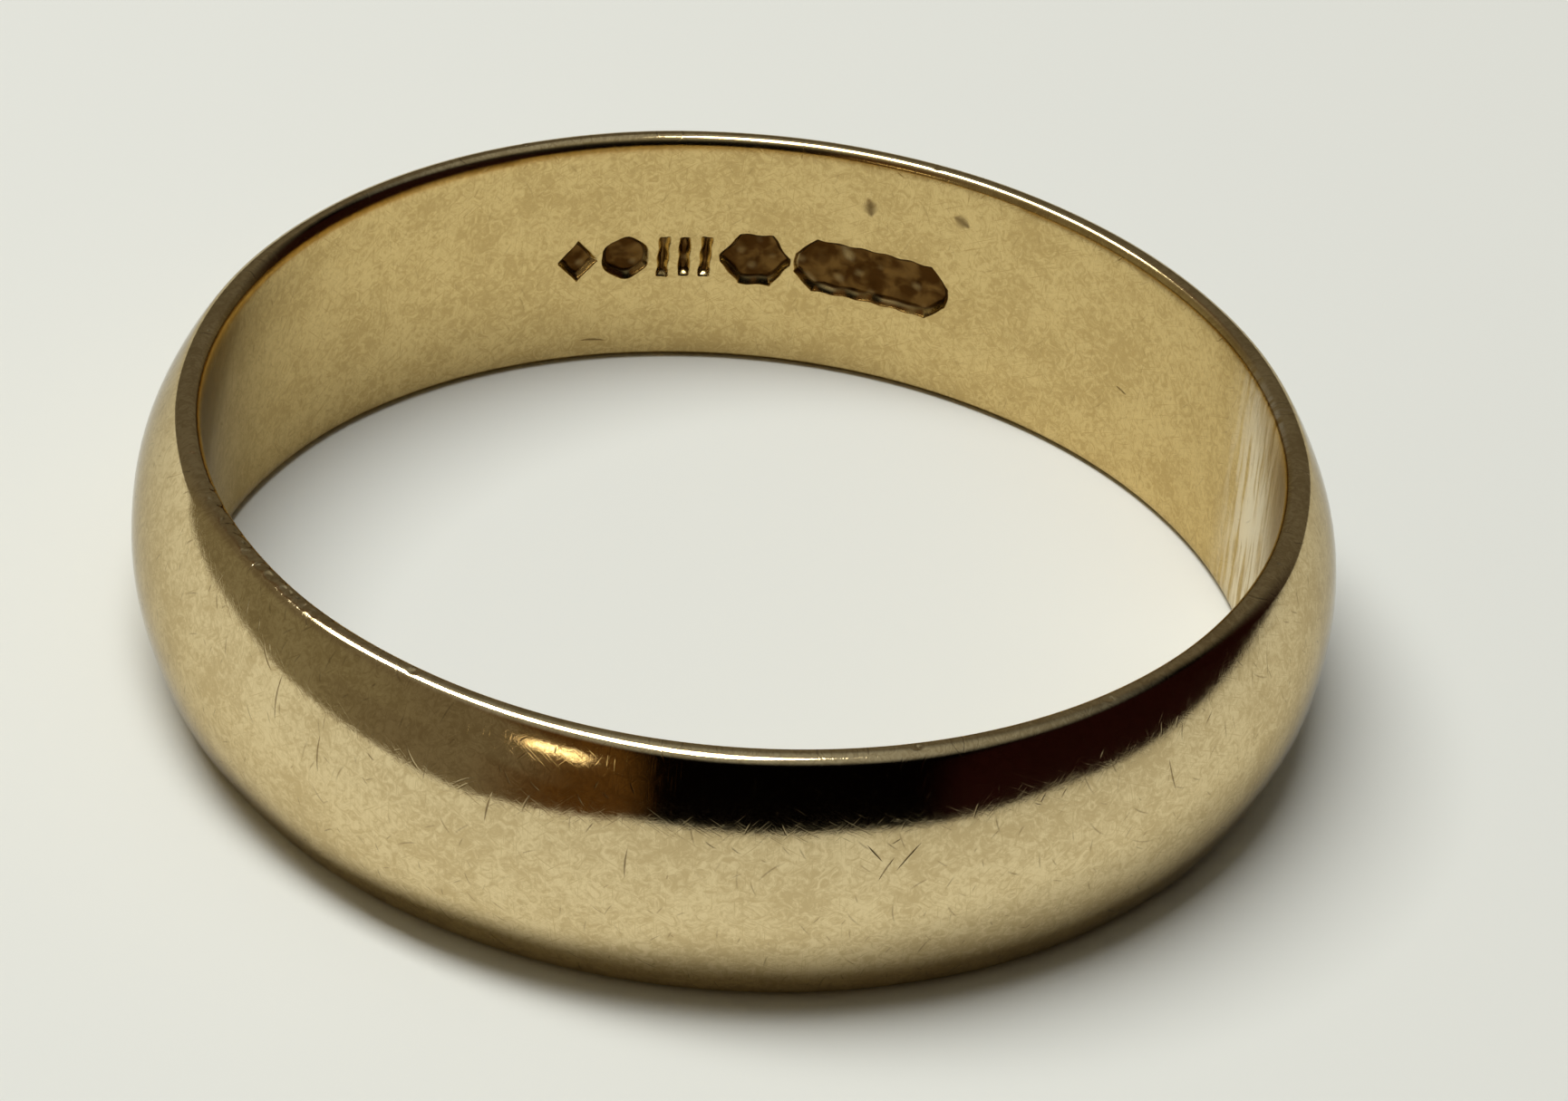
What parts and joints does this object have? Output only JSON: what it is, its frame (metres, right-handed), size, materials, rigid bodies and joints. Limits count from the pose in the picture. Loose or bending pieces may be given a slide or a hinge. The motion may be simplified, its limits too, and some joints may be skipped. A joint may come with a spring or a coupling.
{
  "type": "wedding band",
  "caption": "Plain D-section wedding band in yellow gold, domed outside and flat inside, with small punch marks in the bore and a soldered seam.",
  "frame": {"origin": "centre of the bore, on the surface that the band lies on", "axes": "+Z along the finger, from the edge the band lies on to the other edge; the punch marks are round about +Y, and the seam is 11 degrees round from +X towards +Y"},
  "size_m": [0.0218, 0.0218, 0.005],
  "materials": {
    "gold": null,
    "solder": "gold solder, filed flush and a little paler than the gold beside it"
  },
  "bodies": {
    "root": {"shank": "gold", "solder_seam": "solder"}
  },
  "joints": []
}
